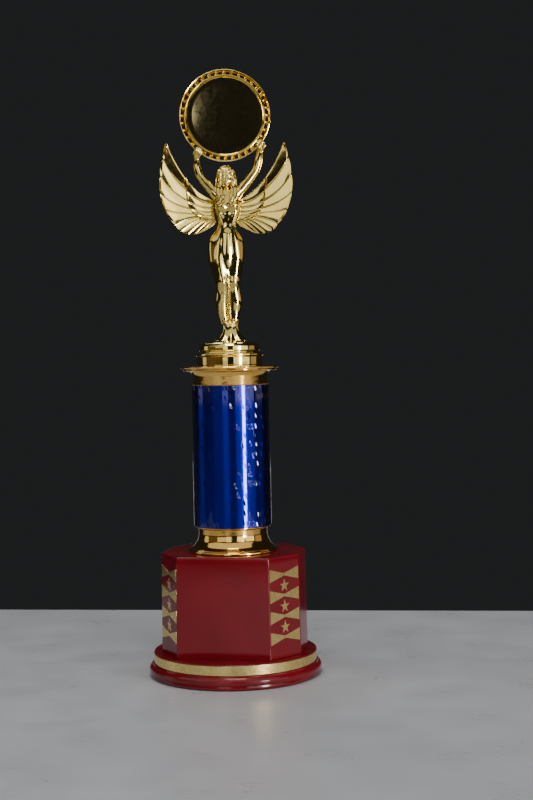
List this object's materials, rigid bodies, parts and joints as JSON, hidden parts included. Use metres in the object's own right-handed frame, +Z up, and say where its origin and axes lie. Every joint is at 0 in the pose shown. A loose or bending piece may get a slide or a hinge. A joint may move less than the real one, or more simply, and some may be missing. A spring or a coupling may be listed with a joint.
{
  "type": "column trophy",
  "caption": "Column trophy: a winged figure holds up a medallion ring, on a film-covered column and an octagonal plinth with a round foot.",
  "frame": {"origin": "on the table under the column's axis, at the middle of the foot's underside", "axes": "+Z up along the column, -Y out of the plinth's wide front face, +X to the right as seen from the front"},
  "size_m": [0.1132, 0.1132, 0.3947],
  "materials": {
    "red_plastic": "glossy",
    "foil_gold": "hot-stamped gold foil, satin",
    "cap_gold": "vacuum-metallised, lacquered orange gold, mirror",
    "pale_gold": "vacuum-metallised pale gold, mirror",
    "mirror_gold": "vacuum-metallised gold, mirror",
    "blue_film": "metallised prism film, glossy",
    "tube_plastic": "matte",
    "steel": "satin",
    "iron": "matte",
    "felt": "matte"
  },
  "bodies": {
    "stand": {"felt_pad": "felt", "foot_shell": "red_plastic", "foot_band": "foil_gold", "clamp_nut": "steel", "clamp_washer": "steel", "ballast_block": "iron", "plinth_shell": "red_plastic", "foil_front_left": "foil_gold", "foil_front_right": "foil_gold", "foil_back_left": "foil_gold", "foil_back_right": "foil_gold", "lower_cap": "cap_gold", "column_tube": "tube_plastic", "film_wrap": "blue_film", "upper_cap": "cap_gold", "tie_rod": "steel", "upper_washer": "steel", "upper_nut": "steel"},
    "topper": {"figure_base": "pale_gold", "figure_insert": "steel", "figure_body": "pale_gold", "wing_left": "pale_gold", "wing_right": "pale_gold", "medallion_ring": "pale_gold", "medallion_dish": "mirror_gold"}
  },
  "joints": [
    {"name": "figure_turn", "type": "hinge", "parent": "stand", "child": "topper", "pos_m": [0, 0, 0.203], "axis": [0, 0, 1], "continuous": true}
  ]
}
